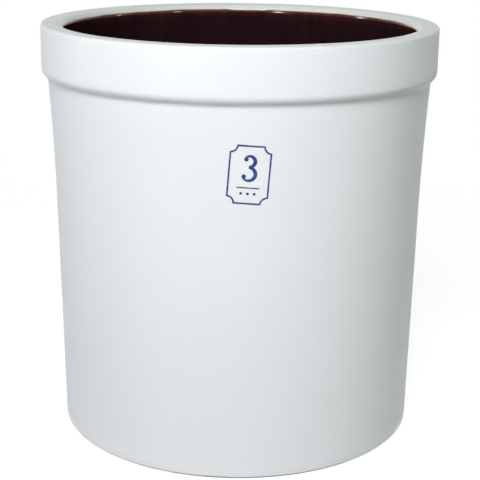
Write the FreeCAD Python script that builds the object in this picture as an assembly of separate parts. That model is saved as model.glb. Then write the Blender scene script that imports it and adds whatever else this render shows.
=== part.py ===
import FreeCAD, Part
import math
import os
from collections import namedtuple

# An open stoneware crock of three US gallons: one fired clay pot with a collar round its mouth,
# a white glaze outside and over the rim, a brown glaze lining inside, and a blue capacity mark
# let into the white glaze. Sizes are in millimetres. Z is up, the crock stands on z = 0 about
# the Z axis, and its mark faces -Y.

# Overall sizes, over the glaze
overall_height = 286.5
rim_diameter = 275.0
foot_diameter = 253.4

# Wall: a straight lower part that turns outwards to the neck, a little below the collar
wall_thickness = 11.85
flare_projection = 3.15
flare_below_collar = 50.8
flare_radius = 1800.0

# Collar, the band that stands out round the mouth
collar_height = 36.1
collar_projection = 4.15
collar_underside_rise = 3.2
collar_lower_round = 6.2
collar_cove = 4.2
rim_outer_round = 1.8
rim_inner_round = 5.8
throat_blend = 160.0

# Floor and foot
floor_thickness = 12.0
floor_round = 15.0
foot_round = 2.4
foot_ring_width = 20.0
foot_recess_depth = 2.0
foot_recess_slope = 2.0

# Glaze: how thick each coat is, where the white stops at the foot and meets the brown at the lip
outer_glaze_thickness = 0.5
liner_glaze_thickness = 0.5
bare_foot_height = 1.2
lip_glaze_drop = 3.7

# Capacity mark as a whole
mark_below_collar = 42.8
mark_tilt = 4.1
mark_depth = 0.2

# Ticket-shaped frame of the mark: a ruled line with a scoop out of each corner
frame_line = 1.1
frame_notch = 4.4
frame_side_margin = 4.9
frame_end_margin = 4.9

# Numeral of the mark: two round bowls, thin at the left and thick at the right, with ball ends.
# The gaps in the bowls are angles from the right, counterclockwise.
numeral_top_radius = 4.3
numeral_bottom_radius = 5.0
numeral_overlap = 1.4
numeral_thin = 1.0
numeral_thick = 2.4
numeral_ball = 1.4
top_bowl_gap = (150.0, 262.0)
bottom_bowl_gap = (98.0, 208.0)

# Rule under the numeral, and the tally of dots under the rule
rule_gap = 3.4
rule_line = 0.8
rule_overhang = 2.0
tally_gap = 2.4
tally_count = 3
tally_spacing = 4.2
tally_dot_radius = 0.9

# Heights and radii that follow from the sizes above
rim_radius = rim_diameter / 2
neck_radius = rim_radius - collar_projection
turn_radius = neck_radius - flare_projection
foot_radius = foot_diameter / 2
mouth_radius = neck_radius - wall_thickness
floor_radius = foot_radius - wall_thickness
recess_radius = foot_radius - foot_ring_width - foot_recess_slope
collar_foot = overall_height - collar_height
turn_height = collar_foot - flare_below_collar
lip_join = overall_height - lip_glaze_drop
mark_height = collar_foot - mark_below_collar

# Sizes of the mark's layout that follow, from the top down inside the frame
numeral_rise = numeral_top_radius + numeral_bottom_radius - numeral_overlap
numeral_height = numeral_top_radius + numeral_rise + numeral_bottom_radius
rule_length = (tally_count - 1) * tally_spacing + 2 * (tally_dot_radius + rule_overhang)
contents_height = numeral_height + rule_gap + rule_line + tally_gap + 2 * tally_dot_radius
contents_width = max(rule_length, 2 * max(numeral_top_radius, numeral_bottom_radius))
frame_width = contents_width + 2 * (frame_side_margin + frame_line)
frame_height = contents_height + 2 * (frame_end_margin + frame_line)

# How much of a straight run its two roundings may use up
largest_share = 0.98

# How far a cutter stands past what it cuts, and a radius that is past the whole crock
past = 1.0
outermost = max(rim_radius, turn_radius, foot_radius) + past

# A corner of the half section. Its surface is that of the run that starts there: the outside and
# the inside carry glaze, and the underside is bare.
Corner = namedtuple("Corner", "radius height rounding surface")

# The glazed crock's half section, counterclockwise from the middle of its underside
glazed_corners = [
    Corner(0, foot_recess_depth, 0, "underside"),
    Corner(recess_radius, foot_recess_depth, 0, "underside"),
    Corner(recess_radius + foot_recess_slope, 0, 0, "underside"),
    Corner(foot_radius, 0, foot_round, "outside"),
    Corner(turn_radius, turn_height, flare_radius, "outside"),
    Corner(neck_radius, collar_foot, collar_cove, "outside"),
    Corner(rim_radius, collar_foot + collar_underside_rise, collar_lower_round, "outside"),
    Corner(rim_radius, overall_height, rim_outer_round, "outside"),
    Corner(mouth_radius, overall_height, rim_inner_round, "inside"),
    Corner(mouth_radius, collar_foot, throat_blend, "inside"),
    Corner(turn_radius - wall_thickness, turn_height, flare_radius, "inside"),
    Corner(floor_radius, floor_thickness, floor_round, "inside"),
    Corner(0, floor_thickness, 0, "axis"),
]


def inward(a, b):
    """The unit vector at right angles to the run from a to b, pointing into the section."""
    run = math.hypot(b.radius - a.radius, b.height - a.height)
    return -(b.height - a.height) / run, (b.radius - a.radius) / run


def taken_in(corners, depths):
    """The same outline with each run moved in by its surface's depth, and its arcs with it."""
    moved = []
    for i, corner in enumerate(corners):
        before, after = corners[i - 1], corners[(i + 1) % len(corners)]
        first, second = inward(before, corner), inward(corner, after)
        d1, d2 = depths.get(before.surface, 0), depths.get(corner.surface, 0)
        turn = first[0] * second[1] - first[1] * second[0]
        radius = corner.radius + (d1 * second[1] - d2 * first[1]) / turn
        height = corner.height + (d2 * first[0] - d1 * second[0]) / turn
        rounding = corner.rounding
        if rounding > 0:
            rounding = max(rounding - math.copysign((d1 + d2) / 2, turn), 0)
        moved.append(Corner(radius, height, rounding, corner.surface))
    return moved


def at(radius, height):
    """A point of the half section, which lies in the XZ plane."""
    return FreeCAD.Vector(radius, 0, height)


def tangent_lengths(points, roundings):
    """How far from its corner each arc starts, cut back where two arcs need the same run."""
    count = len(points)
    half_angles = []
    for i in range(count):
        to_before = points[i - 1] - points[i]
        to_after = points[(i + 1) % count] - points[i]
        half_angles.append(to_before.getAngle(to_after) / 2)
    wanted = [rounding / math.tan(half) for rounding, half in zip(roundings, half_angles)]
    allowed = [1.0] * count
    for i in range(count):
        j = (i + 1) % count
        room = largest_share * (points[j] - points[i]).Length
        if wanted[i] + wanted[j] > room:
            share = room / (wanted[i] + wanted[j])
            allowed[i] = min(allowed[i], share)
            allowed[j] = min(allowed[j], share)
    return [w * a for w, a in zip(wanted, allowed)], half_angles


def section(corners):
    """A face bounded by straight runs, joined by tangent arcs at the rounded corners."""
    points = [at(corner.radius, corner.height) for corner in corners]
    lengths, half_angles = tangent_lengths(points, [corner.rounding for corner in corners])
    ends = []
    arcs = []
    for i, here in enumerate(points):
        to_before = (points[i - 1] - here).normalize()
        to_after = (points[(i + 1) % len(points)] - here).normalize()
        start, end = here + to_before * lengths[i], here + to_after * lengths[i]
        ends.append((start, end))
        if lengths[i] > 0:
            radius = lengths[i] * math.tan(half_angles[i])
            to_arc = radius / math.sin(half_angles[i]) - radius
            middle = here + (to_before + to_after).normalize() * to_arc
            arcs.append(Part.Arc(start, middle, end).toShape())
        else:
            arcs.append(None)
    edges = []
    for i, (start, end) in enumerate(ends):
        if arcs[i]:
            edges.append(arcs[i])
        edges.append(Part.LineSegment(end, ends[(i + 1) % len(ends)][0]).toShape())
    return Part.Face(Part.Wire(edges))


def region(*points):
    """A straight-sided face in the plane of the half section."""
    return Part.Face(Part.makePolygon([at(*point) for point in points + points[:1]]))


def one_face(shape):
    """The single face that a cut of the half section leaves."""
    assert len(shape.Faces) == 1, "the section came apart"
    return shape.Faces[0]


def turned(face):
    """The solid that a face of the half section sweeps in one full turn about the Z axis."""
    return face.revolve(FreeCAD.Vector(0, 0, 0), FreeCAD.Vector(0, 0, 1), 360)


# Half sections of the glazed crock and of the bare clay, and the coat of glaze between them
glaze_depths = {"outside": outer_glaze_thickness, "inside": liner_glaze_thickness}
glazed_section = section(glazed_corners)
clay_section = section(taken_in(glazed_corners, glaze_depths))
coat_section = glazed_section.cut(clay_section)

# The space inside a line up the middle of the wall, where the coat is brown
half_wall = wall_thickness / 2
lined_region = region(
    (0, -past),
    (foot_radius - half_wall, -past),
    (turn_radius - half_wall, turn_height),
    (neck_radius - half_wall, lip_join),
    (0, lip_join),
)

# The space beside the foot, where the clay is bare
bare_region = region(
    (0, -past),
    (outermost, -past),
    (outermost, bare_foot_height),
    (0, bare_foot_height),
)


# The mark is drawn flat in the XZ plane about its own centre, then tilted and let in


def plate(width, height, x=0, z=0):
    """A rectangle centred on x, z."""
    left, right = x - width / 2, x + width / 2
    low, high = z - height / 2, z + height / 2
    return region((left, low), (right, low), (right, high), (left, high))


def disc(radius, x=0, z=0):
    """A round face centred on x, z."""
    return Part.Face(Part.Wire(Part.makeCircle(radius, at(x, z), FreeCAD.Vector(0, -1, 0))))


def on_circle(radius, z, degrees):
    """The x, z of a point at an angle round a circle that is centred on x = 0."""
    angle = math.radians(degrees)
    return radius * math.cos(angle), z + radius * math.sin(angle)


def ticket(margin):
    """The frame's outline, taken in by a margin: a rectangle with scooped corners."""
    shape = plate(frame_width - 2 * margin, frame_height - 2 * margin)
    for x in (-frame_width / 2, frame_width / 2):
        for z in (-frame_height / 2, frame_height / 2):
            shape = shape.cut(disc(frame_notch + margin, x, z))
    return shape


def frame_drawing():
    """The frame's line, between its outline and the same outline taken in."""
    return [ticket(0).cut(ticket(frame_line))]


def bowl(radius, z, gap):
    """One bowl of the numeral: a ring of uneven width, open over the gap."""
    inner = radius - (numeral_thin + numeral_thick) / 2
    shift = (numeral_thick - numeral_thin) / 2
    ring = disc(radius, 0, z).cut(disc(inner, -shift, z))
    reach = 2 * radius
    opening = [on_circle(reach, z, degrees) for degrees in (gap[0], sum(gap) / 2, gap[1])]
    return ring.cut(region((0, z), *opening))


def ball(radius, z, degrees):
    """The round end of a stroke, inside the outer edge of its bowl."""
    return disc(numeral_ball, *on_circle(radius - numeral_ball, z, degrees))


def numeral_drawing():
    """A plain figure 3, whose two bowls share the stroke between them."""
    top = frame_height / 2 - frame_line - frame_end_margin
    high = top - numeral_top_radius
    low = high - numeral_rise
    return [
        bowl(numeral_top_radius, high, top_bowl_gap),
        bowl(numeral_bottom_radius, low, bottom_bowl_gap),
        ball(numeral_top_radius, high, top_bowl_gap[0]),
        ball(numeral_bottom_radius, low, bottom_bowl_gap[1]),
    ]


def tally_drawing():
    """The rule and the dots under it."""
    dots = frame_line + frame_end_margin + tally_dot_radius - frame_height / 2
    rule = dots + tally_dot_radius + tally_gap + rule_line / 2
    shapes = [plate(rule_length, rule_line, 0, rule)]
    for i in range(tally_count):
        shapes.append(disc(tally_dot_radius, (i - (tally_count - 1) / 2) * tally_spacing, dots))
    return shapes


def glaze_skin():
    """The skin of the glaze that the mark lies in, over the band of wall where the mark is."""
    reach = math.hypot(frame_width, frame_height) / 2 + past
    band = region(
        (0, mark_height - reach),
        (outermost, mark_height - reach),
        (outermost, mark_height + reach),
        (0, mark_height + reach),
    )
    under_skin = section(taken_in(glazed_corners, {"outside": mark_depth}))
    return turned(one_face(glazed_section.cut(under_skin).common(band)))


def let_in(drawing, skin):
    """The drawn faces as solids: tilted, raised to their place and pressed through the skin."""
    placed = Part.makeCompound(drawing)
    placed.rotate(FreeCAD.Vector(0, 0, 0), FreeCAD.Vector(0, 1, 0), mark_tilt)
    placed.translate(FreeCAD.Vector(0, -outermost, mark_height))
    stamps = placed.extrude(FreeCAD.Vector(0, outermost, 0)).Solids
    stamp = stamps[0].multiFuse(stamps[1:]) if len(stamps) > 1 else stamps[0]
    return Part.makeCompound(skin.common(stamp).Solids)


skin = glaze_skin()
mark_frame = let_in(frame_drawing(), skin)
mark_numeral = let_in(numeral_drawing(), skin)
mark_tally = let_in(tally_drawing(), skin)
white_coat = turned(one_face(coat_section.cut(lined_region).cut(bare_region)))

pieces = {
    "clay_body": turned(clay_section),
    "outer_glaze": white_coat.cut([mark_frame, mark_numeral, mark_tally]),
    "liner_glaze": turned(one_face(coat_section.common(lined_region))),
    "mark_frame": mark_frame,
    "mark_numeral": mark_numeral,
    "mark_tally": mark_tally,
}

os.makedirs("parts", exist_ok=True)
for name, shape in pieces.items():
    shape.exportStep(os.path.join("parts", name + ".step"))
    print(name, len(shape.Solids), "solids", round(shape.Volume), "mm3, valid", shape.isValid())
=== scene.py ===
# %% [markdown]
# # A stoneware crock, from the clay out
#
# The object is an open crock of about three gallons, the kind that holds pickles or kitchen tools.
# It is one pot of fired clay. A white glaze covers the outside and folds over the rim, a dark brown
# glaze lines the inside, and a small blue capacity mark lies in the white.
#
# The lesson follows the pot's own making: first the clay, then the two glazes, then the mark, then
# the studio that it is photographed in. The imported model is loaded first, because every piece made
# here has to lie where its solid lies.

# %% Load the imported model
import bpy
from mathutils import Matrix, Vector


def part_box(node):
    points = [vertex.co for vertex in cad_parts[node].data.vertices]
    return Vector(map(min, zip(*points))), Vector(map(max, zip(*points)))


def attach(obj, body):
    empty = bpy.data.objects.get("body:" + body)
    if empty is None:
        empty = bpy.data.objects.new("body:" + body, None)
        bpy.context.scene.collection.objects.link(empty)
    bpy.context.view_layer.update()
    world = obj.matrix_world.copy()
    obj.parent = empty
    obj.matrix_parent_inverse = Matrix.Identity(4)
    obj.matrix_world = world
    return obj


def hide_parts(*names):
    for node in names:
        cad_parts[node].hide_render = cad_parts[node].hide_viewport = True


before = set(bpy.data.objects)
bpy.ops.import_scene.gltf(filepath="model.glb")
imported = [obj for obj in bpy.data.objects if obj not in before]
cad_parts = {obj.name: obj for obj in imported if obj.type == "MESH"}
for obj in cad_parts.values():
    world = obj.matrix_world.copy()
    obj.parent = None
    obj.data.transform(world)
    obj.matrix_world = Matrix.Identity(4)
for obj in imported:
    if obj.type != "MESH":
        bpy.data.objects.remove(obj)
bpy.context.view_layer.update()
print("solids:", sorted(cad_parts))

# %% Bring in what the lesson uses
import math
from collections import namedtuple

import bmesh
import bpy
import numpy as np
from mathutils import Matrix, Vector, noise
from mathutils.geometry import delaunay_2d_cdt

mm = 0.001
print("the pot is drawn in millimetres, and Blender takes metres, so a millimetre is", mm)

# %% [markdown]
# ## The pot's outline
#
# A crock like this is pressed in a turning mould, so every part of it is round, and one half
# section says it all. The section is drawn the way a pattern maker draws it: a few corners, each
# with the radius that softens it. Sizes are in millimetres, over the glaze.
#
# A section that is spun beats a stack of cylinders here, because the collar, the flare under it and
# the foot run into each other without a seam, as they do on the real pot.

# %% Sizes of the pot, in millimetres
overall_height = 286.5
rim_radius = 137.5
foot_radius = 126.7

wall_thickness = 11.85
flare_projection = 3.15
flare_below_collar = 50.8
flare_radius = 1800.0

collar_height = 36.1
collar_projection = 4.15
collar_underside_rise = 3.2
collar_lower_round = 6.2
collar_cove = 4.2
rim_outer_round = 1.8
rim_inner_round = 5.8
throat_blend = 160.0

floor_thickness = 12.0
floor_round = 15.0
foot_round = 2.4
foot_ring_width = 20.0
foot_recess_depth = 2.0
foot_recess_slope = 2.0

glaze_thickness = 0.5
bare_foot_height = 1.2
lip_glaze_drop = 3.7
print("the pot is", 2 * rim_radius, "mm across the rim and", overall_height, "mm tall")

# %% Radii and heights that follow
neck_radius = rim_radius - collar_projection
turn_radius = neck_radius - flare_projection
mouth_radius = neck_radius - wall_thickness
floor_radius = foot_radius - wall_thickness
recess_radius = foot_radius - foot_ring_width - foot_recess_slope
collar_foot = overall_height - collar_height
turn_height = collar_foot - flare_below_collar
lip_join = overall_height - lip_glaze_drop
print("mouth radius", round(mouth_radius, 2), "mm, collar's foot at", round(collar_foot, 2), "mm")

# %% The corners of the half section, from the middle of the underside round to the floor
Corner = namedtuple("Corner", "radius height rounding")
corners = [
    Corner(0, foot_recess_depth, 0),
    Corner(recess_radius, foot_recess_depth, 0),
    Corner(recess_radius + foot_recess_slope, 0, 0),
    Corner(foot_radius, 0, foot_round),
    Corner(turn_radius, turn_height, flare_radius),
    Corner(neck_radius, collar_foot, collar_cove),
    Corner(rim_radius, collar_foot + collar_underside_rise, collar_lower_round),
    Corner(rim_radius, overall_height, rim_outer_round),
    Corner(mouth_radius, overall_height, rim_inner_round),
    Corner(mouth_radius, collar_foot, throat_blend),
    Corner(turn_radius - wall_thickness, turn_height, flare_radius),
    Corner(floor_radius, floor_thickness, floor_round),
    Corner(0, floor_thickness, 0),
]
print(len(corners), "corners, of which", sum(c.rounding > 0 for c in corners), "are rounded")

# %% [markdown]
# Each rounded corner becomes an arc that meets both of its runs without a kink. Where two arcs want
# the same run, they share it. The points lie close together on tight arcs and up to four
# millimetres apart on the long walls, which is fine enough for the wall's slow waves.

# %% Where each arc starts and ends
largest_share = 0.98


def unit(vector):
    return vector / np.linalg.norm(vector)


def arc_lengths(points):
    """How far from its corner each arc starts, and half the angle that the corner makes."""
    count = len(points)
    halves = []
    for i in range(count):
        to_before = unit(points[i - 1] - points[i])
        to_after = unit(points[(i + 1) % count] - points[i])
        halves.append(math.acos(to_before @ to_after) / 2)
    wanted = [corner.rounding / math.tan(half) for corner, half in zip(corners, halves)]
    allowed = [1.0] * count
    for i in range(count):
        j = (i + 1) % count
        room = largest_share * np.linalg.norm(points[j] - points[i])
        if wanted[i] + wanted[j] > room:
            share = room / (wanted[i] + wanted[j])
            allowed[i] = min(allowed[i], share)
            allowed[j] = min(allowed[j], share)
    return [w * a for w, a in zip(wanted, allowed)], halves


corner_points = [np.array((corner.radius, corner.height), float) for corner in corners]
arc_starts, half_angles = arc_lengths(corner_points)
print("the longest arc starts", round(max(arc_starts), 1), "mm before its corner")

# %% Points along the outline
longest_step = 4.0
turn_per_step = math.radians(9)


def arc_points(corner, to_before, to_after, length, half):
    """Points of the arc that rounds one corner, from its start to its end."""
    radius = length * math.tan(half)
    centre = corner + unit(to_before + to_after) * radius / math.sin(half)
    start = corner + to_before * length - centre
    end = corner + to_after * length - centre
    sweep = math.pi - 2 * half
    steps = max(math.ceil(sweep / turn_per_step), math.ceil(radius * sweep / longest_step), 1)
    shares = np.linspace(0, 1, steps + 1)
    weights = [(math.sin((1 - t) * sweep), math.sin(t * sweep)) for t in shares]
    return [centre + (start * a + end * b) / math.sin(sweep) for a, b in weights]


def corners_and_arcs():
    """The sharp corners and the points of the arcs, in their order along the outline."""
    stops = []
    for i, here in enumerate(corner_points):
        if arc_starts[i] == 0:
            stops.append(here)
            continue
        to_before = unit(corner_points[i - 1] - here)
        to_after = unit(corner_points[(i + 1) % len(corner_points)] - here)
        stops.extend(arc_points(here, to_before, to_after, arc_starts[i], half_angles[i]))
    return stops


def filled_in(stops):
    """The same line with points added wherever a step would be too long."""
    filled = [stops[0]]
    for stop in stops[1:]:
        start = filled[-1]
        steps = max(math.ceil(np.linalg.norm(stop - start) / longest_step), 1)
        filled.extend(start + (stop - start) * k / steps for k in range(1, steps + 1))
    return np.array(filled)


outline = filled_in(corners_and_arcs())
print("outline drawn with", len(outline), "points")

# %% [markdown]
# Glaze and clay differ by half a millimetre, so both are measured from this one outline. For that,
# each place on it gets three facts: how far along the outline it lies, which way is out, and where
# it is. `place` then answers for any distance along the outline and any depth under it.

# %% Distance along the outline and the way out of it
runs = np.diff(outline, axis=0)
run_lengths = np.hypot(runs[:, 0], runs[:, 1])
travel = np.concatenate([[0], np.cumsum(run_lengths)])
whole_way = travel[-1]
headings = runs / run_lengths[:, None]
along = np.concatenate([headings[:1], (headings[:-1] + headings[1:]) / 2, headings[-1:]])
along /= np.linalg.norm(along, axis=1)[:, None]
outward = np.stack([along[:, 1], -along[:, 0]], axis=1)
print("the outline is", round(whole_way, 1), "mm long")


# %% From a distance to a place, and from a height to a distance
def place(distance, depth):
    """Radius and height of places at a distance along the outline and a depth under it."""
    radius = np.interp(distance, travel, outline[:, 0])
    height = np.interp(distance, travel, outline[:, 1])
    out_r = np.interp(distance, travel, outward[:, 0])
    out_z = np.interp(distance, travel, outward[:, 1])
    return radius - out_r * depth, height - out_z * depth


def travel_to(height, inside):
    """How far along the outline a height is reached, on the outside or on the inside."""
    top = int(np.argmax(outline[:, 1]))
    if inside:
        return float(np.interp(-height, -outline[top:, 1], travel[top:]))
    start = int(np.argmax(outline[:, 0] >= foot_radius - foot_round))
    return float(np.interp(height, outline[start:top + 1, 1], travel[start:top + 1]))


glaze_start = travel_to(bare_foot_height, inside=False)
glaze_join = travel_to(lip_join, inside=True)
print("white glaze runs from", round(glaze_start, 1), "to", round(glaze_join, 1), "mm")

# %% [markdown]
# ## Spinning a section into a piece
#
# The section is spun in 480 steps, so its edge departs from a true circle by three thousandths of
# a millimetre. Each piece is a closed skin: it goes up one face of the coat and back down the
# other. Places on the axis fall together, so they are merged into one point there.
#
# Blender's Screw modifier could spin it too, but it turns one fixed line. Here every step has its
# own column of points, so an edge may wander on its way round. Each point also remembers how far it
# lies from the edge of its coat. The finishes use that later, because a glaze changes colour where
# it thins out towards its edge.

# %% A piece that is spun about the pot's axis
around = 480
angles = np.linspace(0, 2 * math.pi, around, endpoint=False)
tiny = 1e-6
crease = math.radians(40)


def new_piece(name, mesh):
    """A mesh placed in the scene as a piece of the crock."""
    piece = bpy.data.objects.new(name, mesh)
    bpy.context.scene.collection.objects.link(piece)
    return piece


def ring_faces(radius):
    """Faces between each row and the next one, but none along the axis."""
    rows = len(radius)
    faces = []
    for i in range(rows):
        after = (i + 1) % rows
        if radius[i].max() == 0 and radius[after].max() == 0:
            continue
        low, high = i * around, after * around
        for j in range(around):
            k = (j + 1) % around
            faces.append((low + j, low + k, high + k, high + j))
    return faces


def spun(name, radius, height, from_edge):
    """A closed piece from radii and heights with a row per place and a column per angle."""
    radius = np.where(radius < tiny, 0, radius)
    x = radius * np.cos(angles) * mm
    y = radius * np.sin(angles) * mm
    points = np.stack([x, y, height * mm], axis=-1).reshape(-1, 3)
    mesh = bpy.data.meshes.new(name)
    mesh.from_pydata(points.tolist(), [], ring_faces(radius))
    told = mesh.attributes.new("edge_distance", "FLOAT", "POINT")
    told.data.foreach_set("value", from_edge.astype(np.float32).ravel())
    shell = bmesh.new()
    shell.from_mesh(mesh)
    on_axis = [v for v in shell.verts if math.hypot(v.co.x, v.co.y) < tiny]
    if on_axis:
        bmesh.ops.remove_doubles(shell, verts=on_axis, dist=tiny)
    bmesh.ops.recalc_face_normals(shell, faces=shell.faces)
    open_edges = sum(not edge.is_manifold for edge in shell.edges)
    shell.to_mesh(mesh)
    shell.free()
    mesh.shade_smooth()
    mesh.set_sharp_from_angle(angle=crease)
    print(name, "has", len(mesh.vertices), "points and", open_edges, "open edges")
    return new_piece(name, mesh)


print("pieces are spun in", around, "steps of", 360 / around, "degrees")

# %% [markdown]
# ## The clay
#
# Under the glazes is one pot of buff stoneware. Only its foot stays bare, because a glazed foot
# would stick to the kiln shelf. The clay lies half a millimetre under the outline wherever a glaze
# covers it, and comes out to the outline on the underside.
#
# The bare clay is gritty. A bump in its finish would show that, but only in a render. Here the face
# itself is roughened by a fine noise, which only ever sinks in, so the pot keeps its stand.

# %% Where the clay lies under the outline
foot_turn = travel_to(foot_round, inside=False)
foot_flat = foot_turn - foot_round * math.pi / 2
grit_depth = 0.09
grit_scale = 0.55


def clay_depth(distance):
    """Half a millimetre under glaze, none on the bare underside."""
    return glaze_thickness * np.clip((distance - foot_flat) / (foot_turn - foot_flat), 0, 1)


def grit(radius, height, distance):
    """Small pits in the bare clay, none under glaze."""
    bare = np.clip((foot_turn - distance) / foot_round, 0, 1)
    pits = np.zeros_like(radius)
    for i in np.flatnonzero(bare[:, 0] > 0):
        for j in range(around):
            spot = Vector((radius[i, j] * math.cos(angles[j]), radius[i, j] * math.sin(angles[j]),
                           height[i, j]))
            pits[i, j] = 0.5 + 0.5 * noise.noise(spot * grit_scale)
    return grit_depth * bare * pits


print("the clay is bare for the first", round(glaze_start, 1), "mm of the outline")

# %% Spin the clay
clay_travel = np.repeat(travel[:, None], around, axis=1)
clay_radius, clay_height = place(clay_travel, clay_depth(clay_travel))
sunk = clay_depth(clay_travel) + grit(clay_radius, clay_height, clay_travel)
clay_radius, clay_height = place(clay_travel, sunk)
stoneware_body = spun("stoneware_body", clay_radius, clay_height, glaze_start - clay_travel)

# %% [markdown]
# ## The white glaze
#
# The white coat is dipped or sprayed on. It flows a little as it melts, so it ends above the foot
# in a soft rolled edge, and its face has slow waves no deeper than a tenth of a millimetre. Inside
# the rim it stops square against the brown, since the two glazes melt into one skin there.
#
# A Solidify modifier could thicken a copy of the clay, but its edge would be blunt and dead level.
# A hand finished pot is never quite true, and a glaze that was wiped or dipped ends along a line
# that wanders. So the coat is spun between two such lines. Lines and waves are sums of a few sine
# waves that close on themselves round the pot, so nothing is left to chance and no seam shows.

# %% Slow waves in a glaze and lines that wander
wave_depth = 0.1
slow_wave_set = ((2, 230, 0.4), (3, 150, 2.1), (5, 104, 4.0), (8, 67, 1.2))
turns_to_halve = 30
foot_line_reach = 0.45
foot_line_waves = ((3, 0.2), (11, 1.7), (19, 3.3), (34, 5.1))
lip_line_reach = 0.5
lip_line_waves = ((5, 2.4), (12, 0.6), (23, 4.4), (41, 1.9))


def slow_waves(angle, distance):
    """Hills and hollows between 0 and 1, each wave by its turns round, length up and phase."""
    total = sum(np.sin(turns * angle + 2 * math.pi * distance / length + phase)
                for turns, length, phase in slow_wave_set)
    return 0.5 + total / (2 * len(slow_wave_set))


def wander(reach, waves):
    """How far a line strays to either side at each angle, each wave by its turns and phase."""
    total = sum(np.sin(turns * angles + phase) / (1 + turns / turns_to_halve)
                for turns, phase in waves)
    return reach * total / len(waves)


foot_line = wander(foot_line_reach, foot_line_waves)
lip_line = wander(lip_line_reach, lip_line_waves)
print("the edge at the foot strays by", round(np.abs(foot_line).max(), 2), "mm and the one in the",
      "lip by", round(np.abs(lip_line).max(), 2), "mm")

# %% Rows of a coat that follow its two ends
first_line_reach = 8
last_line_reach = 4
roll_length = 0.9
hidden_stride = 3


def coat_rows(rows, first_line, last_line):
    """Distances along a coat for every angle, whose two ends follow their wandering lines."""
    fade_first = np.clip(1 - (rows - rows[0]) / first_line_reach, 0, 1)[:, None]
    fade_last = np.clip(1 - (rows[-1] - rows) / last_line_reach, 0, 1)[:, None]
    return rows[:, None] + fade_first * first_line + fade_last * last_line


def roll(from_edge):
    """How far the rolled edge of a coat drops, from its full thickness to none."""
    inward = 1 - np.clip(from_edge / roll_length, 0, 1)
    return glaze_thickness * (1 - np.sqrt(1 - inward ** 2))


def there_and_back(distance, face_depth, from_edge):
    """A closed coat: out along its face, and back along the clay in fewer and longer steps."""
    count = len(distance)
    hidden = np.unique(np.concatenate([np.arange(0, count, hidden_stride), [count - 1]]))[::-1]
    face_radius, face_height = place(distance, face_depth)
    back_radius, back_height = place(distance[hidden], glaze_thickness)
    radius = np.concatenate([face_radius, back_radius])
    height = np.concatenate([face_height, back_height])
    return radius, height, np.concatenate([from_edge, from_edge[hidden]])


print("the edge at the foot rolls over within", roll_length, "mm")

# %% Spin the white coat
roll_row_count = 7
lip_row_count = 9
lip_row_step = 0.35
row_gap = 0.2

after_roll = glaze_start + roll_length + row_gap
before_lip = glaze_join - (lip_row_count - 1) * lip_row_step - row_gap
between = travel[(travel > after_roll) & (travel < before_lip)]
roll_rows = glaze_start + roll_length * np.linspace(0, 1, roll_row_count) ** 2
lip_rows = glaze_join - np.arange(lip_row_count - 1, -1, -1) * lip_row_step
white_rows = np.concatenate([roll_rows, between, lip_rows])
white_travel = coat_rows(white_rows, foot_line, lip_line)
waves = wave_depth * slow_waves(angles, white_travel)
white_depth = np.maximum(waves, roll(white_travel - white_travel[0]))
from_ends = np.minimum(white_travel - white_travel[0], white_travel[-1] - white_travel)
white_coat = spun("white_glaze_coat", *there_and_back(white_travel, white_depth, from_ends))

# %% [markdown]
# ## The brown lining
#
# The lining is poured in, swirled and tipped out. It shows the faint rings that the forming tool
# left in the clay under it, about seven millimetres apart, on the wall and on the floor. It starts
# on the same wandering line where the white stops, so no clay shows between them.
#
# The rings could be a bump in the finish, which takes no points. They are true hills and hollows
# here, so that they catch the light from every side and stay with the mesh wherever it goes.

# %% Rings that the forming tool left
ring_depth = 0.07
ring_spacing = 7.3
ring_unevenness = 0.4
uneven_turns = 3
uneven_length = 31


def tool_rings(angle, distance):
    """Low rings that climb as a slow spiral, a little uneven in height."""
    climb = distance / ring_spacing + angle / (2 * math.pi)
    swell = np.sin(uneven_turns * angle + distance / uneven_length)
    uneven = 1 - ring_unevenness + ring_unevenness * swell
    return (0.5 + 0.5 * np.sin(2 * math.pi * climb)) * uneven


print("rings are", ring_depth, "mm deep and", ring_spacing, "mm apart")

# %% Spin the brown lining
wall_row_start = 4.0
wall_row_step = 1.6
last_step = 1.0
rings_start = 10.0
rings_grow_over = 20.0
middle_calm = 12.0

lip_rows = glaze_join + np.arange(lip_row_count) * lip_row_step
wall_rows = np.arange(glaze_join + wall_row_start, whole_way - last_step, wall_row_step)
brown_rows = np.concatenate([lip_rows, wall_rows, [whole_way]])
brown_travel = coat_rows(brown_rows, lip_line, 0 * angles)
from_lip = brown_travel - brown_travel[0]
ringed = np.clip((from_lip - rings_start) / rings_grow_over, 0, 1)
off_middle = np.clip((whole_way - brown_travel) / middle_calm, 0, 1)
waves = wave_depth * slow_waves(angles, brown_travel)
rings = ring_depth * tool_rings(angles, brown_travel)
brown_depth = off_middle * (waves * (1 - ringed) + rings * ringed)
brown_lining = spun("brown_glaze_lining", *there_and_back(brown_travel, brown_depth, from_lip))

# %% [markdown]
# ## The capacity mark
#
# The mark is stamped in cobalt on the raw white glaze and melts into it. It is a plain ticket
# shaped frame with a numeral, and a rule with three dots under it. Stamped colour could be painted
# in the white finish by a pattern of nodes, but separate pieces with their own outlines stay crisp
# at any size and can be taken off again.
#
# Each piece is drawn flat first. A triangulation of all its outlines at once says which triangles
# lie in which outline, so a ring is "in the outer circle but not in the inner one", and strokes
# that overlap become one shape. Then every point is laid on the wall, where it strays by less than
# a tenth of a millimetre, as ink does. The piece reaches into the glaze and stands a hair proud of
# it, so that the two faces never fight for the same place.

# %% Sizes of the mark, in millimetres
mark_below_collar = 42.8
mark_tilt = math.radians(4.1)
mark_depth = 0.2
mark_proud = 0.03

frame_line = 1.1
frame_notch = 4.4
frame_side_margin = 4.9
frame_end_margin = 4.9

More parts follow.
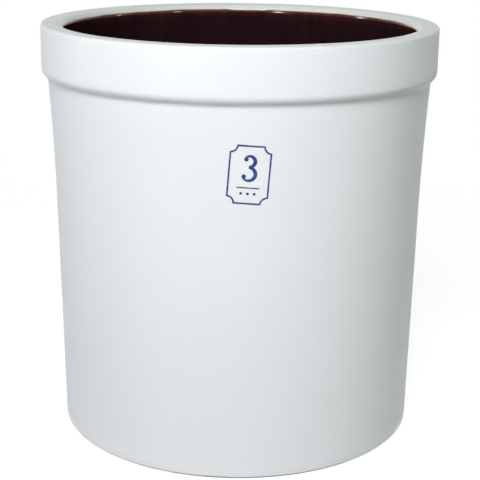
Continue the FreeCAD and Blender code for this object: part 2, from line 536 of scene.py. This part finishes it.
numeral_top_radius = 4.3
numeral_bottom_radius = 5.0
numeral_overlap = 1.4
numeral_thin = 1.0
numeral_thick = 2.4
numeral_ball = 1.4

rule_gap = 3.4
rule_line = 0.8
rule_overhang = 2.0
tally_gap = 2.4
tally_count = 3
tally_spacing = 4.2
tally_dot_radius = 0.9
print("the mark's middle lies", mark_below_collar, "mm below the collar")

# %% Layout of the mark
mark_height = collar_foot - mark_below_collar
numeral_rise = numeral_top_radius + numeral_bottom_radius - numeral_overlap
numeral_height = numeral_top_radius + numeral_rise + numeral_bottom_radius
rule_length = (tally_count - 1) * tally_spacing + 2 * (tally_dot_radius + rule_overhang)
frame_width = rule_length + 2 * (frame_side_margin + frame_line)
frame_height = (numeral_height + rule_gap + rule_line + tally_gap + 2 * tally_dot_radius
                + 2 * (frame_end_margin + frame_line))
print("the mark is", round(frame_width, 1), "by", round(frame_height, 1), "mm")

# %% Flat outlines
ink_step = 0.5


def arc(radius, u, v, start, end):
    """Points of an arc about u, v between two angles in degrees."""
    sweep = math.radians(end - start)
    count = max(math.ceil(abs(sweep) * radius / ink_step), 2)
    turns = [math.radians(start) + sweep * k / count for k in range(count + 1)]
    return [(u + radius * math.cos(t), v + radius * math.sin(t)) for t in turns]


def circle(radius, u=0, v=0):
    return arc(radius, u, v, 0, 360)[:-1]


def with_short_sides(corner_list):
    """The same closed outline with its long sides cut into short ones."""
    points = []
    for (u1, v1), (u2, v2) in zip(corner_list, corner_list[1:] + corner_list[:1]):
        count = max(round(math.hypot(u2 - u1, v2 - v1) / ink_step), 1)
        points.extend((u1 + (u2 - u1) * k / count, v1 + (v2 - v1) * k / count)
                      for k in range(count))
    return points


print("a dot of the tally gets", len(circle(tally_dot_radius)), "points")

# %% From flat drawing to the wall
ink_stray = 0.09
stray_scale = 0.8
stray_layers = (4.2, 11.6)


def strayed(u, v):
    """A flat point moved a little, by the same noise in every run."""
    aside, upward = [noise.noise(Vector((u, v, layer)) * stray_scale) for layer in stray_layers]
    return u + ink_stray * aside, v + ink_stray * upward


def on_wall(point, lift):
    """The place on the white glaze in front of a flat point, lifted off it or sunk into it."""
    u, v = strayed(*point)
    x = u * math.cos(mark_tilt) + v * math.sin(mark_tilt)
    z = mark_height + v * math.cos(mark_tilt) - u * math.sin(mark_tilt)
    distance = travel_to(z, inside=False)
    radius, _ = place(distance, 0)
    angle = math.asin(x / float(radius)) - math.pi / 2
    radius, height = place(distance, wave_depth * slow_waves(angle, distance) - lift)
    return (x * mm, -math.sqrt(float(radius) ** 2 - x ** 2) * mm, float(height) * mm)


print("the mark's middle is at", [round(c / mm, 1) for c in on_wall((0, 0), mark_proud)], "mm")

# %% A pressed piece of ink
hull_of_all = 0
same_point = 1e-5


def inked(name, outlines, wanted):
    """A thin closed piece over the triangles that lie in the wanted outlines."""
    points = [Vector(point) for ink_line in outlines for point in ink_line]
    ends = np.cumsum([0] + [len(ink_line) for ink_line in outlines])
    loops = [list(range(a, b)) for a, b in zip(ends, ends[1:])]
    flat, _, triangles, _, _, owners = delaunay_2d_cdt(points, [], loops, hull_of_all, same_point)
    kept = [tuple(t) for t, owner in zip(triangles, owners) if wanted(set(owner))]
    used = sorted({i for t in kept for i in t})
    number = {i: k for k, i in enumerate(used)}
    kept = [tuple(number[i] for i in t) for t in kept]
    count = len(used)
    front = [on_wall(flat[i], mark_proud) for i in used]
    back = [on_wall(flat[i], -mark_depth) for i in used]
    edges = {(t[k], t[(k + 1) % 3]) for t in kept for k in range(3)}
    rims = [(a, b) for a, b in edges if (b, a) not in edges]
    faces = kept + [tuple(i + count for i in reversed(t)) for t in kept]
    faces += [(b, a, a + count, b + count) for a, b in rims]
    mesh = bpy.data.meshes.new(name)
    mesh.from_pydata(front + back, [], faces)
    mesh.shade_smooth()
    mesh.set_sharp_from_angle(angle=crease)
    print(name, "has", len(kept), "triangles on its face and", len(rims), "sides")
    return new_piece(name, mesh)


print("ink reaches", mark_depth, "mm into the glaze and stands", mark_proud, "mm proud of it")

# %% [markdown]
# ### The frame
#
# The frame is the line round the mark. A curve with a bevel could draw it, but as a round wire. It
# is a flat band here: what lies between a ticket outline and the same outline taken in by the width
# of the line. A scoop out of each corner is an arc about that corner, so the taken in outline gets
# a larger scoop, and the line keeps its width all the way round.

# %% Press the frame
def ticket(margin):
    """The frame's outline, taken in by a margin."""
    scoop = frame_notch + margin
    lean = math.degrees(math.asin(margin / scoop))
    right, top = frame_width / 2, frame_height / 2
    points = arc(scoop, right, top, 270 - lean, 180 + lean)
    points += arc(scoop, -right, top, 360 - lean, 270 + lean)
    points += arc(scoop, -right, -top, 90 - lean, lean)
    points += arc(scoop, right, -top, 180 - lean, 90 + lean)
    return with_short_sides(points)


mark_frame = inked("mark_frame_line", [ticket(0), ticket(frame_line)], lambda owner: owner == {0})

# %% [markdown]
# ### The numeral
#
# The numeral tells the capacity. A text object could set it, but then its shape would hang on a
# font that is loaded from elsewhere. So it is built as a sign writer builds it: two round bowls,
# each the space between a circle and a smaller one pushed to the left, so the stroke is thin at the
# left and fat at the right. A wedge opens each bowl, and a ball finishes each free end.

# %% Parts of the numeral
top_bowl_gap = (150, 262)
bottom_bowl_gap = (98, 208)
wedge_reach = 2
numeral_high = frame_height / 2 - frame_line - frame_end_margin - numeral_top_radius
numeral_low = numeral_high - numeral_rise


def bowl(radius, v, gap):
    """The outer circle, the inner circle and the wedge of one bowl."""
    inner = radius - (numeral_thin + numeral_thick) / 2
    shift = (numeral_thin - numeral_thick) / 2
    far = wedge_reach * radius
    wedge = [(0, v)]
    for degrees in (gap[0], sum(gap) / 2, gap[1]):
        turn = math.radians(degrees)
        wedge.append((far * math.cos(turn), v + far * math.sin(turn)))
    return [circle(radius, 0, v), circle(inner, shift, v), with_short_sides(wedge)]


def ball(radius, v, degrees):
    """The dot that ends a stroke of a bowl."""
    turn, reach = math.radians(degrees), radius - numeral_ball
    return circle(numeral_ball, reach * math.cos(turn), v + reach * math.sin(turn))


print("the numeral is", round(numeral_height, 1), "mm tall")


# %% Press the numeral
def in_numeral(owner):
    """True in either bowl outside its inner circle and wedge, and in either ball."""
    top = 0 in owner and 1 not in owner and 2 not in owner
    bottom = 3 in owner and 4 not in owner and 5 not in owner
    return top or bottom or 6 in owner or 7 in owner


mark_numeral = inked(
    "mark_numeral_three",
    bowl(numeral_top_radius, numeral_high, top_bowl_gap)
    + bowl(numeral_bottom_radius, numeral_low, bottom_bowl_gap)
    + [ball(numeral_top_radius, numeral_high, top_bowl_gap[0]),
       ball(numeral_bottom_radius, numeral_low, bottom_bowl_gap[1])],
    in_numeral,
)

# %% [markdown]
# ### The rule and the dots
#
# A short rule closes the mark off below the numeral, and three dots under it count the gallons once
# more. Each could be a piece of its own. They are one here, because one stamp presses them and one
# solid stands for them all.

# %% Press the rule and the dots
dots_at = frame_line + frame_end_margin + tally_dot_radius - frame_height / 2
rule_at = dots_at + tally_dot_radius + tally_gap + rule_line / 2
half_long, half_high = rule_length / 2, rule_line / 2
tally = [with_short_sides([(-half_long, rule_at - half_high), (half_long, rule_at - half_high),
                           (half_long, rule_at + half_high), (-half_long, rule_at + half_high)])]
for i in range(tally_count):
    tally.append(circle(tally_dot_radius, (i - (tally_count - 1) / 2) * tally_spacing, dots_at))
mark_tally = inked("mark_tally_rule_and_dots", tally, bool)

# %% [markdown]
# ## Seats in the frame
#
# Every piece rides on the pot's one body and takes the place of its own solid.

# %% Seat the pieces
seats = [
    (stoneware_body, "clay_body", "stoneware_clay"),
    (white_coat, "outer_glaze", "white_glaze"),
    (brown_lining, "liner_glaze", "brown_glaze"),
    (mark_frame, "mark_frame", "cobalt_mark"),
    (mark_numeral, "mark_numeral", "cobalt_mark"),
    (mark_tally, "mark_tally", "cobalt_mark"),
]
for piece, node, finish in seats:
    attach(piece, "root")
    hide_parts(node)
    low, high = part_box(node)
    spots = np.array([v.co for v in piece.data.vertices])
    off = max(abs(spots.min(0) - low).max(), abs(spots.max(0) - high).max())
    print(piece.name, "stands for", node, "and departs from its box by", round(off / mm, 3), "mm")

# %% [markdown]
# ## Finishes
#
# A picture of glaze could be wrapped round the pot, but it would show a seam and turn soft close
# up. Each finish is a small tree of nodes instead. One helper adds a node and joins it up, so that
# the trees below read like recipes. Places are measured in millimetres on the piece itself, so a
# pattern stays where it is when the pot is moved.

# %% A helper for recipes of nodes
def finish_named(name):
    """A new material, its node tree and its main shader."""
    material = bpy.data.materials.new(name)
    material.use_nodes = True
    return material, material.node_tree, material.node_tree.nodes["Principled BSDF"]


def add(tree, kind, inputs=None, **settings):
    """A node with its settings made and its sockets filled or joined."""
    node = tree.nodes.new("ShaderNode" + kind)
    for setting, value in settings.items():
        setattr(node, setting, value)
    for socket, value in (inputs or {}).items():
        if isinstance(value, bpy.types.NodeSocket):
            tree.links.new(value, node.inputs[socket])
        else:
            node.inputs[socket].default_value = value
    return node


def place_in_mm(tree):
    """Where a point lies on the pot, in millimetres."""
    here = add(tree, "TexCoord").outputs["Object"]
    return add(tree, "VectorMath", {0: here, "Scale": 1 / mm}, operation="SCALE").outputs[0]


def edge_distance(tree):
    """Millimetres from the edge of the coat, as each point remembers them."""
    return add(tree, "Attribute", attribute_name="edge_distance").outputs["Fac"]


print("a recipe starts with finish_named and grows with add")


# %% Words that the recipes use
def cloud(tree, where, size, detail=2.0):
    """Soft noise with patches of about this size in millimetres, between 0 and 1."""
    inputs = {"Vector": where, "Scale": 1.0 / size, "Detail": detail, "Roughness": 0.55}
    return add(tree, "TexNoise", inputs).outputs["Fac"]


def fade(tree, value, start, end, low=0.0, high=1.0):
    """A soft change from low to high while a value goes from start to end."""
    inputs = {"Value": value, "From Min": start, "From Max": end, "To Min": low, "To Max": high}
    return add(tree, "MapRange", inputs, interpolation_type="SMOOTHSTEP").outputs["Result"]


def times(tree, a, b):
    return add(tree, "Math", {0: a, 1: b}, operation="MULTIPLY").outputs[0]


def larger(tree, a, b):
    return add(tree, "Math", {0: a, 1: b}, operation="MAXIMUM").outputs[0]


def tinted(tree, amount, colour, tint):
    """One colour that gives way to another by an amount between 0 and 1."""
    if isinstance(colour, tuple):
        colour = (*colour, 1)
    inputs = {"Factor": amount, "A": colour, "B": (*tint, 1)}
    return add(tree, "Mix", inputs, data_type="RGBA").outputs["Result"]


words = (cloud, fade, times, larger, tinted)
print("recipes are written with", ", ".join(word.__name__ for word in words))


# %% Dots, and places that go round the pot
def specks(tree, where, spacing, radius):
    """Small round dots, sparse on the surface, between 0 and 1."""
    dots = add(tree, "TexVoronoi", {"Vector": where, "Scale": 1.0 / spacing})
    size = radius / spacing
    return fade(tree, dots.outputs["Distance"], 0.5 * size, size, low=1.0, high=0.0)


def from_axis(tree, where):
    """How far a point lies from the pot's axis."""
    flat = add(tree, "VectorMath", {0: where, 1: (1.0, 1.0, 0.0)}, operation="MULTIPLY").outputs[0]
    return add(tree, "VectorMath", {0: flat}, operation="LENGTH").outputs["Value"]


def height_of(tree, where):
    return add(tree, "SeparateXYZ", {0: where}).outputs["Z"]


def near_ring(tree, where, radius, height, reach):
    """1 on a circle round the pot and 0 further than reach from it."""
    section = {"X": from_axis(tree, where), "Y": height_of(tree, where)}
    here = add(tree, "CombineXYZ", section).outputs[0]
    ring = (radius, height, 0.0)
    gap = add(tree, "VectorMath", {0: here, 1: ring}, operation="DISTANCE").outputs["Value"]
    return fade(tree, gap, 0.0, reach, low=1.0, high=0.0)


cove = (neck_radius + 0.6, collar_foot + 0.4)
print("the cove under the collar is the ring", [round(x, 2) for x in cove])

# %% [markdown]
# ### White glaze
#
# Opaque white glaze is glass full of fine white grains. It is never one flat white: it is warmer
# where it runs thin over an edge and the buff clay shines through. In the cove under the collar it
# is painted a darker, cooler white, as painted shade where the collar's shadow falls, and the glaze
# also lies thick there. Over the rim and round its inner edge it is painted a greyish white, darker
# than the wall, as painted shade on the rim's top. A few iron specks from the clay burn through it.
# Its face has a soft gloss with a faint orange peel, and turns glassier in the last millimetres
# before its edge.
#
# One plain colour would look like plastic. Every change of tone here is tied to a place on the pot,
# such as a height, an edge or a cove, so the finish stays the same from any side. The shade in the
# cove and over the rim is painted into the colour.

# %% Colours and places of the white glaze
thick_white = (0.865, 0.885, 0.90)
drifted_white = (0.858, 0.878, 0.892)
# Painted shade: a darker, cooler white for the cove under the collar, where its shadow falls. The
# glaze also lies thick there.
cove_white = (0.80, 0.85, 0.85)
# Painted shade: a greyish white for the rim's top and its inner edge, darker than the wall.
rim_skin = (0.66, 0.705, 0.69)
thin_edge = (0.84, 0.82, 0.76)
clay_below = (0.56, 0.53, 0.37)
amber_joint = (0.42, 0.24, 0.11)
iron_speck = (0.30, 0.21, 0.14)

skin_from, skin_to = overall_height - 2.0, overall_height - 0.4
lip_from, lip_to = overall_height - 8.0, overall_height - 6.0
mouth_from, mouth_to = mouth_radius + 9.0, mouth_radius + 7.0
outer_edge = (rim_radius - 0.5, overall_height - 0.5)
print("the greyish skin covers the rim from", skin_from, "mm up")

# %% Mix the white glaze
white_glaze, tree, shader = finish_named("fired_white_glaze")
where = place_in_mm(tree)
height = height_of(tree, where)
to_edge = edge_distance(tree)
mottle = cloud(tree, where, size=7)

drift = fade(tree, cloud(tree, where, size=60), 0.35, 0.65)
colour = tinted(tree, drift, thick_white, drifted_white)
# Paint shade into the cove under the collar, where its shadow falls and the glaze lies thick.
pooled = near_ring(tree, where, *cove, reach=4.0)
colour = tinted(tree, times(tree, pooled, 0.5), colour, cove_white)

# Paint a greyish shade over the rim's top and round its inner edge.
over_rim = fade(tree, height, skin_from, skin_to)
near_top = fade(tree, height, lip_from, lip_to)
inside = fade(tree, from_axis(tree, where), mouth_from, mouth_to)
skin = larger(tree, over_rim, times(tree, near_top, inside))
colour = tinted(tree, skin, colour, rim_skin)

rim_edge = near_ring(tree, where, *outer_edge, reach=1.6)
thin = times(tree, rim_edge, fade(tree, mottle, 0.35, 0.7, low=0.1, high=0.5))
colour = tinted(tree, thin, colour, thin_edge)
buff = times(tree, near_top, fade(tree, to_edge, 0.2, 4.5, low=1.0, high=0.0))
buff = times(tree, buff, fade(tree, mottle, 0.3, 0.7, low=0.2, high=0.45))
colour = tinted(tree, buff, colour, clay_below)
amber = fade(tree, to_edge, 0.1, 0.6, low=1.0, high=0.0)
colour = tinted(tree, times(tree, amber, 0.6), colour, amber_joint)
iron = times(tree, specks(tree, where, spacing=15, radius=0.42), 0.6)
colour = tinted(tree, iron, colour, iron_speck)
tree.links.new(colour, shader.inputs["Base Color"])
print("the tones of the white glaze take", len(tree.nodes), "nodes")


# %% Gloss and orange peel of the white glaze
def roughened(tree, shader, grain, strength, relief):
    """Bump from a grain, with its relief in millimetres."""
    inputs = {"Height": grain, "Strength": strength, "Distance": relief * mm}
    tree.links.new(add(tree, "Bump", inputs).outputs["Normal"], shader.inputs["Normal"])


def glassy_skin(shader, ior, reflection):
    """How a glaze bends light, and how much of it the face throws back."""
    shader.inputs["IOR"].default_value = ior
    shader.inputs["Specular IOR Level"].default_value = reflection


gloss = fade(tree, cloud(tree, where, size=35), 0.3, 0.7, low=0.38, high=0.44)
glassy = fade(tree, to_edge, 1.0, 6.0, low=0.3, high=1.0)
tree.links.new(times(tree, gloss, glassy), shader.inputs["Roughness"])
roughened(tree, shader, cloud(tree, where, size=3.2, detail=1.0), strength=0.5, relief=0.06)
glassy_skin(shader, ior=1.5, reflection=0.3)
print("white glaze mixed with", len(tree.nodes), "nodes")

# %% [markdown]
# ### Brown glaze
#
# The lining is a slip glaze, a clay so rich in iron that it melts to dark brown glass. Thick, it
# is almost black. Where it runs thin, at the top of the wall, it breaks to a rusty amber, and it
# ran down in faint streaks while it melted.
#
# Streaks could be stripes, but melted glaze has none that are so even. A cloud that is drawn out
# from top to bottom gives long soft ones.

# %% Colours of the brown glaze
iron_brown = (0.016, 0.006, 0.008)
streak_brown = (0.023, 0.008, 0.0095)
patch_brown = (0.012, 0.005, 0.007)
pool_brown = (0.010, 0.004, 0.0055)
rusty_brown = (0.085, 0.018, 0.013)
thin_amber = (0.22, 0.075, 0.03)
drawn_out = (1.0, 1.0, 0.12)
print("streaks are drawn out", round(drawn_out[0] / drawn_out[2], 1), "times")

# %% Mix the brown glaze
brown_glaze, tree, shader = finish_named("fired_brown_glaze")
where = place_in_mm(tree)
below_lip = edge_distance(tree)

drawn = add(tree, "VectorMath", {0: where, 1: drawn_out}, operation="MULTIPLY").outputs[0]
streaks = fade(tree, cloud(tree, drawn, size=6, detail=4.0), 0.35, 0.7)
colour = tinted(tree, streaks, iron_brown, streak_brown)
patches = fade(tree, cloud(tree, where, size=40), 0.35, 0.7)
colour = tinted(tree, times(tree, patches, 0.5), colour, patch_brown)
pool = near_ring(tree, where, floor_radius - 4, floor_thickness + 4, reach=14)
colour = tinted(tree, times(tree, pool, 0.7), colour, pool_brown)

rust = fade(tree, below_lip, 0.5, 7.0, low=0.6, high=0.0)
rust = times(tree, rust, fade(tree, streaks, 0.0, 1.0, low=0.4, high=1.0))
colour = tinted(tree, rust, colour, rusty_brown)
amber = fade(tree, below_lip, 0.1, 0.8, low=0.8, high=0.0)
colour = tinted(tree, amber, colour, thin_amber)
tree.links.new(colour, shader.inputs["Base Color"])
print("the tones of the brown glaze take", len(tree.nodes), "nodes")

# %% Gloss of the brown glaze
gloss = fade(tree, cloud(tree, where, size=22), 0.3, 0.7, low=0.05, high=0.12)
tree.links.new(gloss, shader.inputs["Roughness"])
roughened(tree, shader, cloud(tree, where, size=2.8, detail=1.0), strength=0.25, relief=0.06)
glassy_skin(shader, ior=1.52, reflection=0.3)
print("brown glaze mixed with", len(tree.nodes), "nodes")

# %% [markdown]
# ### Bare stoneware
#
# The foot shows the clay itself: buff, dry and sandy, with pale and dark grains. It is a shade
# darker where the kiln's flame toasted it next to the glaze. One fine cloud gives both sorts of
# grain, the pale ones from its peaks and the dark ones from its hollows, so they never overlap.

# %% Colours of the bare stoneware
buff_clay = (0.60, 0.52, 0.42)
darker_buff = (0.53, 0.45, 0.36)
pale_grain = (0.72, 0.66, 0.57)
dark_grain = (0.34, 0.28, 0.22)
burnt_speck = (0.16, 0.11, 0.08)
toasted_clay = (0.46, 0.39, 0.34)
print("the clay is", buff_clay, "away from the flame")

# %% Mix the bare stoneware
stoneware, tree, shader = finish_named("bare_stoneware")
where = place_in_mm(tree)
drift = fade(tree, cloud(tree, where, size=25), 0.35, 0.65)
colour = tinted(tree, drift, buff_clay, darker_buff)
sand = cloud(tree, where, size=0.8, detail=3.0)
colour = tinted(tree, fade(tree, sand, 0.55, 0.7, low=0.0, high=0.6), colour, pale_grain)
colour = tinted(tree, fade(tree, sand, 0.45, 0.32, low=0.0, high=0.6), colour, dark_grain)
colour = tinted(tree, specks(tree, where, spacing=4, radius=0.5), colour, burnt_speck)
toasted = fade(tree, edge_distance(tree), 0.0, 2.5, low=0.7, high=0.0)
colour = tinted(tree, toasted, colour, toasted_clay)
tree.links.new(colour, shader.inputs["Base Color"])
tree.links.new(fade(tree, sand, 0.3, 0.7, low=0.78, high=0.92), shader.inputs["Roughness"])
roughened(tree, shader, sand, strength=0.8, relief=0.2)
print("bare stoneware mixed with", len(tree.nodes), "nodes")

# %% [markdown]
# ### Cobalt
#
# Stamped cobalt takes unevenly. It is navy where the ink sat thick, a mid blue where it sat thin,
# and pale in a few starved spots. The clear melt over it makes it as glossy as glass. A flat blue
# would be simpler, but it would look printed on.

# %% Colours of the cobalt
thick_cobalt = (0.018, 0.032, 0.15)
thin_cobalt = (0.05, 0.085, 0.32)
starved_cobalt = (0.20, 0.28, 0.56)
print("the ink goes from", thick_cobalt, "to", thin_cobalt)

# %% Mix the cobalt
cobalt, tree, shader = finish_named("fired_cobalt")
where = place_in_mm(tree)
ink = cloud(tree, where, size=1.8, detail=3.0)
colour = tinted(tree, fade(tree, ink, 0.35, 0.65), thick_cobalt, thin_cobalt)
starved = fade(tree, cloud(tree, where, size=0.9, detail=2.0), 0.62, 0.74, low=0.0, high=0.6)
colour = tinted(tree, starved, colour, starved_cobalt)
tree.links.new(colour, shader.inputs["Base Color"])
tree.links.new(fade(tree, ink, 0.3, 0.7, low=0.10, high=0.18), shader.inputs["Roughness"])
glassy_skin(shader, ior=1.5, reflection=0.3)
print("cobalt mixed with", len(tree.nodes), "nodes")

# %% Dress the pieces
for piece, finish in [
    (stoneware_body, stoneware),
    (white_coat, white_glaze),
    (brown_lining, brown_glaze),
    (mark_frame, cobalt),
    (mark_numeral, cobalt),
    (mark_tally, cobalt),
]:
    piece.data.materials.append(finish)
    print(piece.name, "wears", finish.name)

# %% [markdown]
# ## The studio
#
# The crock stands on a plain pale floor that keeps its soft shadow. Seen straight or in the gloss
# of the glaze, the floor turns to pure white away from the pot, as a paper sweep does in a studio.
# All other light meets it as ordinary pale paper. The sky round it does the same: white to look at,
# and a weak even light otherwise.
#
# A floor lit up to white by lamps would be simpler, but so much light would bleach the pot.

# %% Mix the paper of the floor
paper_grey = (0.45, 0.45, 0.45, 1)
shadow_paper = (0.34, 0.34, 0.35, 1)
pure_white = (1, 1, 1, 1)
paper_glow = 0.84
white_from, white_by = 300.0, 900.0


def seen_rays(tree):
    """1 for what is looked at straight, in a reflection or through glass, and 0 for other light."""
    rays = add(tree, "LightPath").outputs
    seen = larger(tree, rays["Is Camera Ray"], rays["Is Glossy Ray"])
    return larger(tree, seen, rays["Is Transmission Ray"])


paper = bpy.data.materials.new("paper_floor")
paper.use_nodes = True
tree = paper.node_tree
tree.nodes.remove(tree.nodes["Principled BSDF"])
plain = add(tree, "BsdfDiffuse", {"Color": paper_grey}).outputs[0]
shaded = add(tree, "BsdfDiffuse", {"Color": shadow_paper}).outputs[0]
glow = add(tree, "Emission", {"Color": pure_white, "Strength": paper_glow}).outputs[0]
catching = add(tree, "AddShader", {0: shaded, 1: glow}).outputs[0]
white = add(tree, "Emission", {"Color": pure_white, "Strength": 1.0}).outputs[0]
away = fade(tree, from_axis(tree, place_in_mm(tree)), white_from, white_by)
looked_at = add(tree, "MixShader", {0: away, 1: catching, 2: white}).outputs[0]
mixed = add(tree, "MixShader", {0: seen_rays(tree), 1: plain, 2: looked_at}).outputs[0]
tree.links.new(mixed, tree.nodes["Material Output"].inputs["Surface"])
print("the paper is pure white from", white_by, "mm off the axis")

# %% Lay the floor
sheet_radius = 6.0
sheet = bmesh.new()
bmesh.ops.create_circle(sheet, cap_ends=True, radius=sheet_radius, segments=96)
floor_mesh = bpy.data.meshes.new("paper_floor")
sheet.to_mesh(floor_mesh)
sheet.free()
floor = new_piece("paper_floor", floor_mesh)
floor.data.materials.append(paper)
print("the floor is a disc of", sheet_radius, "metres")

# %% Light the room evenly
room_colour = (0.95, 0.98, 1.0, 1)
room_light = 0.02

room = bpy.data.worlds.new("studio_room")
bpy.context.scene.world = room
room.use_nodes = True
tree = room.node_tree
tree.nodes.remove(tree.nodes["Background"])
even = add(tree, "Background", {"Color": room_colour, "Strength": room_light}).outputs[0]
white = add(tree, "Background", {"Color": pure_white, "Strength": 1.0}).outputs[0]
mixed = add(tree, "MixShader", {0: seen_rays(tree), 1: even, 2: white}).outputs[0]
tree.links.new(mixed, tree.nodes["World Output"].inputs["Surface"])
print("the room adds a light of", room_light, "from all sides")

# %% [markdown]
# ### Lamps
#
# One large soft box stands high in front and gives the collar its shadow. Its beam is narrow and
# aimed a little over the pot, so the collar is brightest and the wall darkens slowly towards the
# foot, as in the picture. Four upright strips stand round the pot, a little higher than its rim.
# The two on the left are the brighter ones and make the wall look round, and all four are mirrored
# as the small glints in the lip of the lining. A low box behind keeps the back from going dark and
# stays out of the reflections.
#
# A studio picture of the room could light the pot as well, but lamps can be moved one by one until
# each glint sits where it should.

# %% A lamp on a stand
beam = math.radians(80)


def softbox(name, azimuth, elevation, aim, distance, width, height, power, colour):
    """A lamp aimed at a height on the axis. Azimuth 0 is in front and 90 at the pot's right."""
    a, e = math.radians(azimuth), math.radians(elevation)
    back = Vector((math.sin(a) * math.cos(e), -math.cos(a) * math.cos(e), math.sin(e)))
    data = bpy.data.lights.new(name, "AREA")
    data.shape = "RECTANGLE"
    data.size, data.size_y = width, height
    data.spread = beam
    data.energy = power
    data.color = colour
    lamp = bpy.data.objects.new(name, data)
    bpy.context.scene.collection.objects.link(lamp)
    lamp.location = Vector((0, 0, aim)) + back * distance
    lamp.rotation_mode = "QUATERNION"
    lamp.rotation_quaternion = (-back).to_track_quat("-Z", "Y")
    print(name, "stands", round(lamp.location.z, 2), "metres up and gives", power, "watts")
    return lamp


print("every lamp throws a beam of", round(math.degrees(beam)), "degrees")

# %% Set up the lamps
softbox("high_box", azimuth=-10, elevation=38, aim=0.34, distance=1.4, width=0.6, height=0.6,
        power=3.85, colour=(1.0, 0.975, 1.0))
softbox("key_strip", azimuth=-31, elevation=2, aim=0.50, distance=1.5, width=0.16, height=0.45,
        power=1.3, colour=(0.98, 1.0, 0.98))
softbox("left_strip", azimuth=-98, elevation=6, aim=0.40, distance=1.5, width=0.14, height=0.45,
        power=0.85, colour=(0.82, 0.97, 1.0))
softbox("right_strip", azimuth=44, elevation=18, aim=0.08, distance=1.5, width=0.14, height=0.45,
        power=0.47, colour=(0.8, 1.0, 0.92))
softbox("far_strip", azimuth=93, elevation=8, aim=0.30, distance=1.5, width=0.10, height=0.3,
        power=0.2, colour=(0.85, 1.0, 0.95))
back_box = softbox("back_box", azimuth=177, elevation=0, aim=0.16, distance=1.6, width=0.9,
                   height=0.26, power=3.2, colour=(1, 1, 1))
back_box.visible_glossy = False

# %% [markdown]
# ## The camera
#
# The picture's own edges tell where the camera stood: 0.87 metres from the pot's axis and 0.38
# metres above the table, with a long lens that looks down by 16 degrees and leans by less than one.

# %% Place the camera
frame_pixels = 480
focal_pixels = 1236.0
sensor_width = 36.0
camera_away = 0.8679
camera_up = 0.3804
camera_aside = math.radians(-2.87)
look_down = 0.2827
look_aside = 0.002
lean = 0.0116

eye = bpy.data.cameras.new("camera")
eye.sensor_width = sensor_width
eye.lens = focal_pixels / frame_pixels * sensor_width
camera = bpy.data.objects.new("camera", eye)
bpy.context.scene.collection.objects.link(camera)
turn = camera_aside - look_aside
ahead = Vector((-math.sin(turn) * math.cos(look_down), math.cos(turn) * math.cos(look_down),
                -math.sin(look_down)))
level = Vector((math.cos(turn), math.sin(turn), 0))
up = level.cross(ahead)
right_axis = level * math.cos(lean) + up * math.sin(lean)
up_axis = up * math.cos(lean) - level * math.sin(lean)
facing = Matrix((right_axis, up_axis, -ahead)).transposed()
spot = Vector((math.sin(camera_aside), -math.cos(camera_aside), 0)) * camera_away
camera.matrix_world = Matrix.Translation(spot + Vector((0, 0, camera_up))) @ facing.to_4x4()
bpy.context.scene.camera = camera
bpy.context.scene.view_settings.view_transform = "Standard"
print("lens", round(eye.lens, 1), "mm, camera at", [round(x, 3) for x in camera.location])
